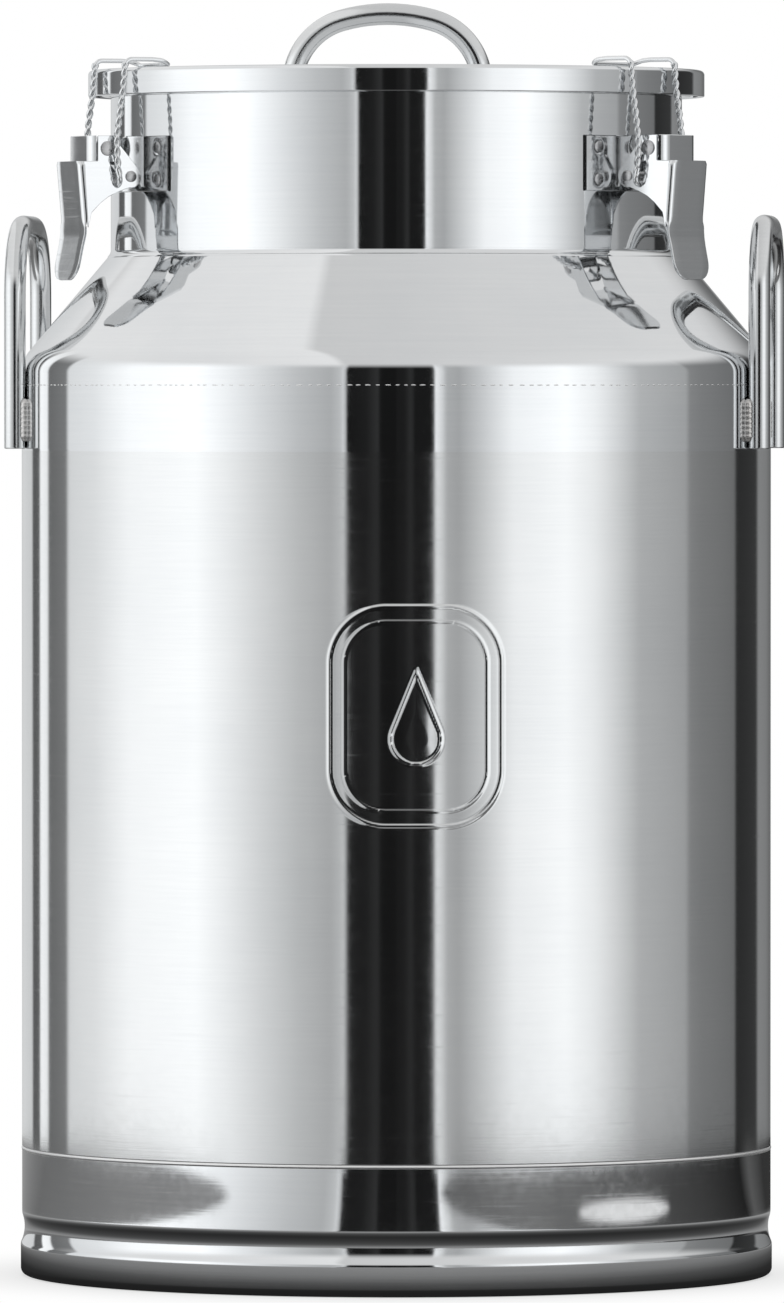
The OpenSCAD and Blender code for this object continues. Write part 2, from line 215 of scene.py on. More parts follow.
def steel(name, tone, rough, wave=0.0, lines=0.0, line_scale=900.0, marks=0.5, grain=0.0):
    """Stainless steel. tone: dark and light colour; rough: least and most roughness; wave: height of slow
    unevenness; lines: height of fine lines round the can; marks: how much wear breaks up the finish;
    grain: height of the fine grain. Heights are in metres."""
    mat = bpy.data.materials.new(name)
    nt = tree_of(mat)
    coords = add(nt, "ShaderNodeTexCoord").outputs["Object"]
    around = noise(nt, coords, line_scale, 2.0, (0.02, 0.02, 1.0))
    cloud = noise(nt, coords, 14.0, 4.0)
    fine = noise(nt, coords, 260.0, 3.0)
    scratch = noise(nt, coords, 700.0, 2.0, (0.03, 0.03, 1.0), 0.7)
    worn = map_range(nt, scratch, 0.60, 0.72, 0.0, marks, True)
    base = math_node(nt, "MULTIPLY_ADD", cloud, 0.7, math_node(nt, "MULTIPLY", around, 0.3))
    colour = mix_colour(nt, map_range(nt, base, 0.3, 0.7, 0.0, 1.0), *tone)
    r = map_range(nt, base, 0.3, 0.7, *rough)
    r = math_node(nt, "ADD", r, math_node(nt, "MULTIPLY", worn, 0.08))
    r = math_node(nt, "ADD", r, map_range(nt, fine, 0.3, 0.7, -0.01, 0.01))
    normal = None
    if wave:
        normal = bump(nt, noise(nt, coords, 9.0, 1.0), wave)
    if lines:
        normal = bump(nt, around, lines, normal)
    if grain:
        normal = bump(nt, fine, grain, normal)
    values = dict(Base_Color=colour, Roughness=r, Metallic=1.0)
    if normal is not None:
        values["Normal"] = normal
    return mat, shader(nt, **values)


def brushed_round(mat, bsdf, amount=0.5):
    """Stretches the reflections as fine brushing round the can's axis does."""
    nt = mat.node_tree
    bsdf.inputs["Anisotropic"].default_value = amount
    bsdf.inputs["Anisotropic Rotation"].default_value = 0.25
    tangent = add(nt, "ShaderNodeTangent", direction_type="RADIAL", axis="Z")
    nt.links.new(tangent.outputs[0], bsdf.inputs["Tangent"])


# Dark and light colours of the steels
COOL = ((0.76, 0.775, 0.79), (0.83, 0.84, 0.845))
PLAIN = ((0.70, 0.71, 0.72), (0.79, 0.80, 0.80))
SATIN = ((0.72, 0.73, 0.735), (0.78, 0.785, 0.785))
PIN = ((0.38, 0.38, 0.39), (0.55, 0.55, 0.55))
WELD = ((0.58, 0.56, 0.54), (0.80, 0.79, 0.78))
SEAM = ((0.84, 0.84, 0.84), (0.93, 0.93, 0.93))

mirror, _ = steel("polished_steel", COOL, (0.035, 0.06), wave=0.00006, lines=0.0000012, marks=0.3)
satin, satin_bsdf = steel("satin_steel", SATIN, (0.075, 0.105), lines=0.0000025, line_scale=1500.0, marks=0.4)
brushed_round(satin, satin_bsdf)
rod_steel, _ = steel("bar_steel", PLAIN, (0.10, 0.16), wave=0.00003, grain=0.000006)
wire_steel, _ = steel("wire_steel", COOL, (0.12, 0.2), grain=0.000008)
latch_steel, _ = steel("stamped_steel", COOL, (0.07, 0.13), wave=0.00005, grain=0.000004, marks=0.8)
pin_steel, _ = steel("pin_steel", PIN, (0.2, 0.3), grain=0.00001)
weld_steel, _ = steel("weld_steel", WELD, (0.28, 0.42), grain=0.00003)
seam_steel, _ = steel("seam_steel", SEAM, (0.35, 0.5), grain=0.00002)


def rubber():
    mat = bpy.data.materials.new("white_silicone")
    nt = tree_of(mat)
    coords = add(nt, "ShaderNodeTexCoord").outputs["Object"]
    cloud = noise(nt, coords, 60.0, 3.0)
    colour = mix_colour(nt, cloud, (0.78, 0.78, 0.76), (0.86, 0.86, 0.85))
    shader(nt, Base_Color=colour, Roughness=map_range(nt, cloud, 0.3, 0.7, 0.45, 0.6),
           Normal=bump(nt, noise(nt, coords, 900.0), 0.00002))
    return mat


silicone = rubber()


# ---------------------------------------------------------------- mesh helpers


def make(name, verts, faces, mats, body, nodes=(), indices=None, sharp=35.0):
    """Mesh object from points in mm that rides on a body and stands for the CAD nodes."""
    mesh = bpy.data.meshes.new(name)
    mesh.from_pydata([tuple(c * MM for c in v) for v in verts], [], faces)
    mesh.validate()
    for m in mats if isinstance(mats, (list, tuple)) else [mats]:
        mesh.materials.append(m)
    if indices is not None:
        mesh.polygons.foreach_set("material_index", indices)
    mesh.polygons.foreach_set("use_smooth", [True] * len(mesh.polygons))
    mesh.set_sharp_from_angle(angle=math.radians(sharp))
    obj = bpy.data.objects.new(name, mesh)
    bpy.context.collection.objects.link(obj)
    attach(obj, body)
    if nodes:
        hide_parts(*nodes)
    return obj


def arc(cr, cz, r, start, end, steps=10):
    """Points of an arc in a section, angles in degrees from outwards towards up."""
    return [
        (cr + r * math.cos(math.radians(a)), cz + r * math.sin(math.radians(a)))
        for a in np.linspace(start, end, steps + 1)
    ]


def held(profile, near=0.35):
    """Section with a point close to each end of its long straight runs, which keeps their shading straight."""
    out = []
    for (r0, z0), (r1, z1) in zip(profile, profile[1:] + profile[:1]):
        out.append((r0, z0))
        length = math.hypot(r1 - r0, z1 - z0)
        if length > 4 * near:
            for t in (near / length, 1 - near / length):
                out.append((r0 + (r1 - r0) * t, z0 + (z1 - z0) * t))
    return out


ON_AXIS = 1e-6  # mm, radius below which a point of a section is on the can's axis


def lathe(name, profile, mats, body, nodes, segs=288, sharp=35.0):
    """Closed section of (radius, height) points turned round the can's axis. Points on the axis close it."""
    profile = held(profile)
    turns = [2 * math.pi * i / segs for i in range(segs)]
    ring = [(math.cos(t), math.sin(t)) for t in turns]
    verts, start = [], []
    for r, z in profile:
        start.append(len(verts))
        verts += [(0, 0, z)] if r < ON_AXIS else [(r * c, r * s, z) for c, s in ring]
    faces = []
    n = len(profile)
    for k in range(n):
        a, b = start[k], start[(k + 1) % n]
        ra, rb = profile[k][0], profile[(k + 1) % n][0]
        if ra < ON_AXIS and rb < ON_AXIS:
            continue
        for i in range(segs):
            j = (i + 1) % segs
            if ra < ON_AXIS:
                faces.append((a, b + j, b + i))
            elif rb < ON_AXIS:
                faces.append((a + i, a + j, b))
            else:
                faces.append((a + i, a + j, b + j, b + i))
    return make(name, verts, faces, mats, body, nodes, sharp=sharp)


def frames_along(points):
    """Each point with its tangent, normal and binormal, carried along without twist."""
    pts = [Vector(p) for p in points]
    n = len(pts)
    out, normal = [], None
    for i in range(n):
        t = (pts[min(i + 1, n - 1)] - pts[max(i - 1, 0)]).normalized()
        if normal is None:
            normal = t.orthogonal().normalized()
        normal = (normal - t * normal.dot(t)).normalized()
        out.append((pts[i], t, normal, t.cross(normal)))
    return out


def tube(points, r, sides=24, cap=0.0, grow=None):
    """Verts and faces of a round tube along the points, with ends rounded by cap mm. grow gives the share of
    the radius from 0 at the start to 1 at the end."""
    path = frames_along(points)
    last = len(path) - 1
    rings = [(p, n, b, r if grow is None else r * grow(i / last)) for i, (p, _, n, b) in enumerate(path)]
    if cap:
        corner = [(1 - math.sin(a), r - cap + cap * math.cos(a)) for a in (1.571, 1.05, 0.52)]
        (p, t, n, b), (q, s, m, c) = path[0], path[-1]
        head = [(p + t * cap * back, n, b, small) for back, small in corner]
        tail = [(q - s * cap * back, m, c, small) for back, small in corner[::-1]]
        first, end = (p + t * cap, *rings[0][1:]), (q - s * cap, *rings[-1][1:])
        rings = head + [first] + rings[1:-1] + [end] + tail
    verts, faces = [], []
    for p, a, b, rr in rings:
        for k in range(sides):
            u = 2 * math.pi * k / sides
            verts.append(tuple(p + a * rr * math.cos(u) + b * rr * math.sin(u)))
    for i in range(len(rings) - 1):
        for k in range(sides):
            m = (k + 1) % sides
            faces.append((i * sides + k, i * sides + m, (i + 1) * sides + m, (i + 1) * sides + k))
    last = (len(rings) - 1) * sides
    faces.append(tuple(range(sides))[::-1])
    faces.append(tuple(last + k for k in range(sides)))
    return verts, faces


def join(parts):
    verts, faces = [], []
    for v, f in parts:
        faces += [tuple(i + len(verts) for i in face) for face in f]
        verts += v
    return verts, faces


def resample(points, step):
    pts = [Vector(p) for p in points]
    out, left = [pts[0].copy()], step
    for a, b in zip(pts, pts[1:]):
        length = (b - a).length
        done = 0.0
        while length - done >= left:
            done += left
            out.append(a.lerp(b, done / length))
            left = step
        left -= length - done
    if (out[-1] - pts[-1]).length > step * 0.3:
        out.append(pts[-1].copy())
    return out


# ---------------------------------------------------------------- can body

POLISH_LOW = 359.6  # the upper band of the barrel is polished, like the shoulder
EDGE = 0.25  # broken lower edge of the barrel

# Foot ring and bottom pan share one rolled groove, rounded into the pan's wall and the foot's face
GROOVE_R = 15.75
GROOVE_DEEP = 1.1
GROOVE_X = CAN_R - GROOVE_DEEP + GROOVE_R
FOOT_IN = CAN_R - GROOVE_DEEP - 3.2


def rounding(wall, r):
    """Height from the groove's middle, and angle, of an arc of radius r between a wall and the groove."""
    rise = math.sqrt((GROOVE_R + r) ** 2 - (GROOVE_X - wall + r) ** 2)
    return rise, math.degrees(math.asin(rise / (GROOVE_R + r)))


def groove_arc(grow, start, end, steps=12):
    """Part of the groove's section, grow mm further in, between angles up from the level of its middle."""
    return arc(GROOVE_X, FOOT_H, GROOVE_R + grow, 180 - start, 180 - end, steps)


PAN_ROUND, FOOT_ROUND = 8.0, 4.0
pan_rise, pan_turn = rounding(CAN_R, PAN_ROUND)
foot_rise, foot_turn = rounding(FOOT_R, FOOT_ROUND)
lathe(
    "foot_ring_rolled",
    arc(FOOT_R - 3, 3, 3, -90, 0) + arc(FOOT_R - FOOT_ROUND, FOOT_H - foot_rise, FOOT_ROUND, 0, foot_turn, 6)
    + groove_arc(0, -foot_turn, 0)[1:] + [(FOOT_IN, FOOT_H), (FOOT_IN, 0.6), (FOOT_IN + 0.6, 0)],
    mirror, "can", ["foot_ring"],
)
STEP_R, STEP_H = CAN_R * 0.72, 5.0  # raised middle of the bottom
step_z = FOOT_H + STEP_H
lathe(
    "bottom_pan_pressed",
    groove_arc(0, 0, pan_turn) + arc(CAN_R - PAN_ROUND, FOOT_H + pan_rise, PAN_ROUND, -pan_turn, 0, 8)[1:]
    + [(CAN_R, PAN_HIGH), (CAN_R - SHEET, PAN_HIGH), (CAN_R - SHEET, FOOT_H + pan_rise)]
    + groove_arc(SHEET, pan_turn, 4)
    + [(STEP_R, FOOT_H + SHEET), (STEP_R - STEP_H, step_z + SHEET), (0, step_z + SHEET),
       (0, step_z), (STEP_R - STEP_H, step_z), (STEP_R, FOOT_H)],
    mirror, "can", ["bottom_pan"],
)


# Barrel: a plain grid round the can with a finer embossed patch at the front
BADGE_W, BADGE_H, BADGE_Z = 77.0, 96.0, 247.0
BADGE_TURN = math.radians(8.6 - 90)
BADGE_SPACE = 4.0  # plain steel round the badge that belongs to the fine patch


def round_box(x, y, w, h, r):
    """Signed distance to a rectangle with round corners, negative inside."""
    qx, qy = np.abs(x) - (w / 2 - r), np.abs(y) - (h / 2 - r)
    return np.minimum(np.maximum(qx, qy), 0) + np.hypot(np.maximum(qx, 0), np.maximum(qy, 0)) - r


def drop(x, y, r, tall):
    """Signed distance to a drop: a circle about the origin with a pointed top."""
    lean = math.asin(r / tall)
    side = np.abs(x) * math.cos(lean) + (y - tall) * math.sin(lean)
    above = y * math.cos(lean) - np.abs(x) * math.sin(lean)
    return np.where(above > 0, side, np.hypot(x, y) - r)


def ridge(d, middle, half):
    """Rounded ridge, 1 high, at a signed distance."""
    t = np.clip(1 - np.abs(d - middle) / half, 0, 1)
    return t * t * (3 - 2 * t)


def embossing(x, y):
    """Height of the badge in mm: a double outline, a raised field and a drop in it."""
    outer = round_box(x, y, BADGE_W, BADGE_H, BADGE_W / 3)
    low_y = y + BADGE_H * 0.1
    tear = drop(x, low_y, BADGE_W * 0.14, BADGE_H * 0.3)
    field = np.clip(-(outer + 1.0) / 3.0, 0, 1)
    return (
        0.42 * ridge(outer, -1.4, 1.3) + 0.28 * ridge(outer, -7.75, 0.9)
        + 0.40 * ridge(tear, 0.0, 1.1) + 0.12 * np.clip(-tear / 6, 0, 1)
        + 0.10 * field * field * (3 - 2 * field)
    )


def barrel():
    segs, cell = 320, 0.6
    pitch = 2 * math.pi / segs
    half_turn = (BADGE_W / 2 + BADGE_SPACE) / CAN_R
    reach = 1 - int(round(-half_turn / pitch))  # cells of the coarse grid on each side of the patch's middle
    z_low, z_high = BADGE_Z - BADGE_H / 2 - BADGE_SPACE, BADGE_Z + BADGE_H / 2 + BADGE_SPACE
    # height and lift of each row; the polished band stands out by the lift
    rows = [(BARREL_LOW, -EDGE * 0.6), (BARREL_LOW + EDGE, 0), (BARREL_LOW + 2 * EDGE, 0), (120, 0), (z_low, 0),
            (z_high, 0), (330, 0), (POLISH_LOW - 0.4, 0), (POLISH_LOW - 0.12, 0),
            (POLISH_LOW + 0.12, 0.04), (POLISH_LOW + 0.4, 0.04), (BARREL_HIGH, 0.04)]
    verts, faces, indices = [], [], []

    def at(turn, z, lift):
        verts.append(((CAN_R + lift) * math.cos(turn), (CAN_R + lift) * math.sin(turn), z))
        return len(verts) - 1

    def ring(z, lift):
        return [at(BADGE_TURN + pitch * i, z, lift) for i in range(segs)]

    grid = [ring(*row) for row in rows]
    for k in range(len(rows) - 1):
        for i in range(segs):
            j = (i + 1) % segs
            if rows[k][0] == z_low and (i >= segs - reach or i < reach):
                continue  # the patch goes here
            faces.append((grid[k][i], grid[k][j], grid[k + 1][j], grid[k + 1][i]))
            indices.append(1 if rows[k][0] > POLISH_LOW - 1 else 0)
    inner = [ring(z, -SHEET) for z in (BARREL_LOW, BARREL_HIGH)]
    for i in range(segs):
        j = (i + 1) % segs
        faces.append((inner[0][j], inner[0][i], inner[1][i], inner[1][j]))
        faces.append((grid[0][j], grid[0][i], inner[0][i], inner[0][j]))
        faces.append((grid[-1][i], grid[-1][j], inner[1][j], inner[1][i]))
        indices += [0, 0, 1]
    span = pitch * reach
    turns = np.linspace(-span, span, int(2 * span * CAN_R / cell) + 1)
    zs = np.linspace(z_low, z_high, int((z_high - z_low) / cell) + 1)
    lift = embossing(*np.meshgrid(turns * CAN_R, zs - BADGE_Z))
    patch = [[at(BADGE_TURN + turns[c], zs[r], lift[r, c]) for c in range(len(turns))] for r in range(len(zs))]
    for lower, upper in zip(patch, patch[1:]):
        for c in range(len(turns) - 1):
            faces.append((lower[c], lower[c + 1], upper[c + 1], upper[c]))
            indices.append(0)
    make("barrel_wall", verts, faces, [satin, mirror], "can", ["barrel"], indices)


barrel()


# Shoulder: short wall, bend, cone
CONE_TURN = 40.0  # degrees between the cone and the wall
SHOULDER_BEND = 15.0
bend_z = SHOULDER_LOW + 4.66
cone_low = (CAN_R - SHOULDER_BEND * (1 - math.cos(math.radians(CONE_TURN))),
            bend_z + SHOULDER_BEND * math.sin(math.radians(CONE_TURN)))
cone_mid = ((cone_low[0] + NECK_R) / 2, (cone_low[1] + NECK_Z) / 2)
cone_thick = SHEET / math.cos(math.radians(90 - CONE_TURN))  # measured upright
lathe(
    "shoulder_cone",
    [(CAN_R, SHOULDER_LOW)] + arc(CAN_R - SHOULDER_BEND, bend_z, SHOULDER_BEND, 0, CONE_TURN, 16)
    + [cone_mid, (NECK_R, NECK_Z), (NECK_R, NECK_Z - cone_thick)]
    + arc(CAN_R - SHOULDER_BEND, bend_z, SHOULDER_BEND - SHEET, CONE_TURN, 0, 10)
    + [(CAN_R - SHEET, SHOULDER_LOW)],
    mirror, "can", ["shoulder"],
)

# Neck with its wired rim
lathe(
    "neck_wall",
    [(NECK_R, NECK_LOW), (NECK_R, RIM_Z), (NECK_R - SHEET, RIM_Z), (NECK_R - SHEET, NECK_LOW)],
    mirror, "can", ["neck"],
)
rim = arc(NECK_R + 2.4, RIM_Z, 3.0, -143, 197, 30)
rim = [(r, z) for r, z in rim if r >= NECK_R - SHEET - 0.01 or z > RIM_Z]
lathe("neck_rim_wire", [(max(r, NECK_R - SHEET), z) for r, z in rim], mirror, "can", ["neck_rim"])


# Welded seams
DASH, DASH_WIDE, DASH_RISE = 3.0, 0.75, 0.14
SEAM_HALF = 0.75


def dashed_seam(name, z, node):
    """Flush ring with a row of short raised weld dashes."""
    lathe(name + "_ring", [(CAN_R, z - SEAM_HALF), (CAN_R, z + SEAM_HALF), (CAN_R - SHEET, z + SEAM_HALF),
                           (CAN_R - SHEET, z - SEAM_HALF)], mirror, "can", [node])
    parts, turn = [], 0.0
    steps = 4
    while turn < 2 * math.pi - DASH * 1.6 / CAN_R:
        length = DASH * random.uniform(0.65, 1.35)
        gap = DASH * random.uniform(0.12, 0.6)
        pts = []
        for i in range(steps + 1):
            a = turn + length / CAN_R * i / steps
            pts.append((CAN_R * math.cos(a), CAN_R * math.sin(a), z + random.uniform(-0.06, 0.06)))
        parts.append(tube(pts, DASH_WIDE / 2, 8, grow=lambda t: 0.45 + 0.55 * math.sin(math.pi * t)))
        turn += (length + gap) / CAN_R
    verts, faces = join(parts)
    sunk = 1 + (DASH_RISE - DASH_WIDE / 2) / CAN_R
    make(name + "_dashes", [(x * sunk, y * sunk, h) for x, y, h in verts], faces, seam_steel, "can")


dashed_seam("shoulder_weld", 387.65, "shoulder_seam")
lathe(
    "bottom_weld",
    [(CAN_R - SHEET, PAN_HIGH), (CAN_R - 0.05, PAN_HIGH)]
    + arc(CAN_R - 0.5, PAN_HIGH + SEAM_HALF, 0.75, -42, 42, 8)
    + [(CAN_R - 0.05, BARREL_LOW), (CAN_R - SHEET, BARREL_LOW)],
    seam_steel, "can", ["bottom_seam"],
)
# Fillet between the neck and the cone; its last three points lie inside the steel
FILLET_R = 3.5
reach = FILLET_R / math.tan(math.radians(90 + CONE_TURN) / 2)
lathe(
    "neck_weld",
    [(NECK_R + 0.02, NECK_Z + reach + 0.3)]
    + arc(NECK_R + FILLET_R, NECK_Z + reach, FILLET_R, 180, 270 - CONE_TURN, 12)
    + [(NECK_R + reach * 0.64 + 0.4, NECK_Z - reach * 0.77 - 0.46),
       (NECK_R + 0.2, NECK_Z - 1.2), (NECK_R - 0.2, NECK_Z + 0.2)],
    mirror, "can", ["neck_seam"], sharp=80,
)


# ---------------------------------------------------------------- handles


def bend_path(points, radii, step=3.0):
    """Polyline with its inner corners rounded."""
    pts = [Vector(p) for p in points]
    out = [pts[0]]
    for i in range(1, len(pts) - 1):
        a, b, c, r = pts[i - 1], pts[i], pts[i + 1], radii[i - 1]
        u, v = (a - b).normalized(), (c - b).normalized()
        half = u.angle(v) / 2
        cut = r / math.tan(half)
        centre = b + (u + v).normalized() * (r / math.sin(half))
        p, q = b + u * cut, b + v * cut
        sweep = math.pi - 2 * half
        count = max(4, int(sweep * r / step) + 4)
        e1 = (p - centre).normalized()
        e2 = ((q - centre) - e1 * (q - centre).dot(e1)).normalized()
        for k in range(count + 1):
            t = sweep * k / count
            out.append(centre + (e1 * math.cos(t) + e2 * math.sin(t)) * r)
    out.append(pts[-1])
    return out


HANDLE_BEND = 30.0
for name in ("left", "right"):
    low, high = size(f"side_handle_{name}")
    rod_r = (high.x - low.x) / 2
    x, leg, top = (low.x + high.x) / 2, high.y - rod_r, high.z - rod_r
    path = bend_path([(x, -leg, low.z), (x, -leg, top), (x, leg, top), (x, leg, low.z)], [HANDLE_BEND] * 2)
    verts, faces = tube(path, rod_r, 40, 0.5)
    make(f"side_handle_bar_{name}", verts, faces, rod_steel, "can", [f"side_handle_{name}"])
leg_turn = math.atan2(leg, x)

# Lid handle: a low arch, two rounder sides and two upright feet
low, high = size("lid_handle")
lid_rod = (high.y - low.y) / 2
mid_x = (low.x + high.x) / 2
foot = (high.x - low.x) / 2 - lid_rod
ARCH_R, SIDE_R = 79.0 - lid_rod, 34.0 - lid_rod
ARCH_HALF = 15.7  # degrees


def leaning(centre, r, a):
    """Point of an arc, with the angle in degrees from straight up."""
    return (centre[0] + r * math.sin(math.radians(a)), centre[1] + r * math.cos(math.radians(a)))


arch_centre = (0.0, high.z - lid_rod - ARCH_R)
side_centre = leaning(leaning(arch_centre, ARCH_R, ARCH_HALF), -SIDE_R, ARCH_HALF)
half_path = [leaning(arch_centre, ARCH_R, a) for a in (0, *np.linspace(3, ARCH_HALF, 5))]
half_path += [leaning(side_centre, SIDE_R, a) for a in np.linspace(ARCH_HALF + 5, 88, 18)]
end_x, end_z = half_path[-1]
half_path += [(foot - (foot - end_x) * (1 - k) ** 2, end_z + (low.z - end_z) * k)
              for k in (0.2, 0.4, 0.6, 0.8, 1.0)]
path = [(mid_x - px, 0, pz) for px, pz in half_path[::-1]] + [(mid_x + px, 0, pz) for px, pz in half_path[1:]]
verts, faces = tube(path, lid_rod, 36)
make("lid_handle_bar", verts, faces, rod_steel, "lid", ["lid_handle"])


def bead(points, r, pitch):
    """Weld bead with ripples and thin ends."""
    pts = resample(points, pitch / 5)
    ripples = len(pts) / 5

    def grow(t):
        return (0.86 + 0.14 * abs(math.cos(t * ripples * math.pi))) * min(1, 0.35 + 6 * t, 0.35 + 6 * (1 - t))

    return tube(pts, r, 14, grow=grow)


low, high = size("handle_welds")
parts = []
for turn in (math.pi + leg_turn, math.pi - leg_turn, -leg_turn, leg_turn):
    for side in (-1, 1):
        c, n = math.cos(turn), math.sin(turn)
        px, py = (CAN_R + 0.9) * c - side * 3.5 * n, (CAN_R + 0.9) * n + side * 3.5 * c
        parts.append(bead([(px, py, low.z + 1.5), (px, py, high.z - 1.5)], 2.3, 2.2))
verts, faces = join(parts)
make("handle_weld_beads", verts, faces, weld_steel, "can", ["handle_welds"], sharp=70)

ring_r = lid_rod + 0.5
parts = []
for side in (-1, 1):
    ring = [(mid_x + side * foot + ring_r * math.cos(a), ring_r * math.sin(a), FLOOR_Z + 0.6)
            for a in np.linspace(0, 2 * math.pi, 49)]
    parts.append(bead(ring, 1.5, 2.0))
verts, faces = join(parts)
make("lid_handle_weld_beads", verts, faces, weld_steel, "lid", ["lid_handle_welds"], sharp=70)


# ---------------------------------------------------------------- lid

RECESS_R, RECESS_ROUND = 109.0, 3.0
LID_ROUND = 2.0
outward, inward = RECESS_R + RECESS_ROUND, RECESS_R - RECESS_ROUND
lathe(
    "lid_pressed",
    [(LID_R - SHEET - 1.4, SKIRT_LOW + SHEET), (LID_R - SHEET - 1.4, SKIRT_LOW + 0.3),
     (LID_R - SHEET - 1.1, SKIRT_LOW)]
    + arc(LID_R - 0.6, SKIRT_LOW + 0.6, 0.6, -90, 0, 5)
    + arc(LID_R - LID_ROUND, LID_Z - LID_ROUND, LID_ROUND, 0, 90, 10)
    + arc(outward - SHEET, LID_Z - RECESS_ROUND, RECESS_ROUND, 90, 180, 8)
    + arc(inward - SHEET, FLOOR_Z + RECESS_ROUND, RECESS_ROUND, 0, -90, 8)
    + [(0, FLOOR_Z), (0, FLOOR_Z - SHEET), (inward, FLOOR_Z - SHEET)]
    + arc(inward, FLOOR_Z + RECESS_ROUND - SHEET, RECESS_ROUND, -90, 0, 8)
    + arc(outward - SHEET, LID_Z - RECESS_ROUND, RECESS_ROUND - SHEET, 180, 90, 6)
    + arc(LID_R - LID_ROUND, LID_Z - LID_ROUND, LID_ROUND - SHEET, 90, 0, 5)
    + [(LID_R - SHEET, SKIRT_LOW + SHEET)],
    mirror, "lid", ["lid_shell"],
)


# ---------------------------------------------------------------- latches

LATCHES = (("left", 210.0), ("right", 330.0), ("rear", 90.0))
HOOK = (NECK_R + 13.7, LID_Z - 50.5)
STRAND_R = 0.8
STRAND_OUT = 0.76
TWIST_PITCH = 8.5
TOP_WIRE_R = 1.0


def place(turn, u, v, z):
    """Point of a latch, out from the can's axis by u, sideways by v, at height z."""
    a = math.radians(turn)
    return (u * math.cos(a) - v * math.sin(a), u * math.sin(a) + v * math.cos(a), z)


def twisted(path, pitch, wire_r, out):
    """Two wires wound round each other along a path."""
    step = 0.7
    frames = frames_along(resample(path, step))
    parts = []
    for k in (0, 1):
        strand = []
        for i, (p, _, n, b) in enumerate(frames):
            phi = 2 * math.pi * (i * step / pitch) + math.pi * k
            strand.append(p + (n * math.cos(phi) + b * math.sin(phi)) * out)
        parts.append(tube(strand, wire_r, 10, 0.25))
    return parts


# Side view of a bail leg above its hook, out from the neck and up from the hook
LEG_PATH = [(0.0, 2.0), (0.6, 5.5), (1.2, 11.5), (1.3, 19.0), (0.6, 26.5), (-0.5, 34.0), (-1.5, 40.5),
            (-2.2, 47.5)]
OVER_AT, OVER_R = (LID_R - 1.9, LID_Z), 3.5  # bend over the lid's edge
HOOK_R, HOOK_WIRE_R = 2.2, 1.25
BAIL_HALF = 16.5
BAIL_CORNER = 5.0
TIP_DIP = 2.0  # the crossbar is bent down onto the lid


def bail(name, turn):
    """Twisted legs, hooked into the lever, and one plain wire over the lid's edge."""
    top_z = OVER_AT[1] + OVER_R
    tip_u = NECK_R - 10.5 + BAIL_CORNER
    over = arc(*OVER_AT, OVER_R, 10, 90, 8)
    leg = [(HOOK[0] + u, HOOK[1] + z) for u, z in LEG_PATH] + over[:3]
    half = [(u, BAIL_HALF, z) for u, z in leg[-2:] + over[3:]] + [(tip_u + 4, BAIL_HALF, top_z)]
    half += [(tip_u - out, BAIL_HALF - BAIL_CORNER + across, top_z)
             for across, out in arc(0, 0, BAIL_CORNER, 0, 90, 9)]
    half = [(u, v, z - TIP_DIP * min(1.0, max(0.0, (tip_u + 3 - u) / 7.0)) ** 2) for u, v, z in half]
    path = half + [(u, -v, z) for u, v, z in half[::-1]]
    parts = [tube([place(turn, *p) for p in path], TOP_WIRE_R, 14, 0.3)]
    for s in (-1, 1):
        leg_path = [place(turn, u, s * BAIL_HALF, z) for u, z in leg]
        parts += twisted(leg_path, TWIST_PITCH, STRAND_R, STRAND_OUT)
        hook = [(HOOK[0], s * 11.3, HOOK[1]), (HOOK[0], s * (BAIL_HALF - HOOK_R), HOOK[1])]
        hook += [(HOOK[0], s * (BAIL_HALF - HOOK_R + HOOK_R * math.sin(a)), HOOK[1] + HOOK_R * (1 - math.cos(a)))
                 for a in np.radians((22, 45, 67, 90))]
        hook += [(HOOK[0] + u, s * BAIL_HALF, HOOK[1] + z) for u, z in ((0.4, 4.2), (1.2, 7.0))]
        parts.append(tube([place(turn, *p) for p in hook], HOOK_WIRE_R, 16, 0.3))
    verts, faces = join(parts)
    make(f"bail_wires_{name}", verts, faces, wire_steel, f"bail_{name}", [f"bail_{name}"], sharp=50)


for name, turn in LATCHES:
    bail(name, turn)

PIVOT = (NECK_R + 18.0, LID_Z - 35.0)
SPACER = (PIVOT[0] - 10.8, PIVOT[1] - 12.0)  # from here on, places in a latch are (u, z)
CHEEK = 13.5  # half the lever's width
LEVER_TOP = PIVOT[1] + 5.6
WEB_TOP = (PIVOT[0] + 13.5, PIVOT[1] - 5.5)
TONGUE_BEND = (PIVOT[0] + 10.8, PIVOT[1] - 36.0)
TONGUE_TIP = (PIVOT[0] + 15.1, PIVOT[1] - 56.5)


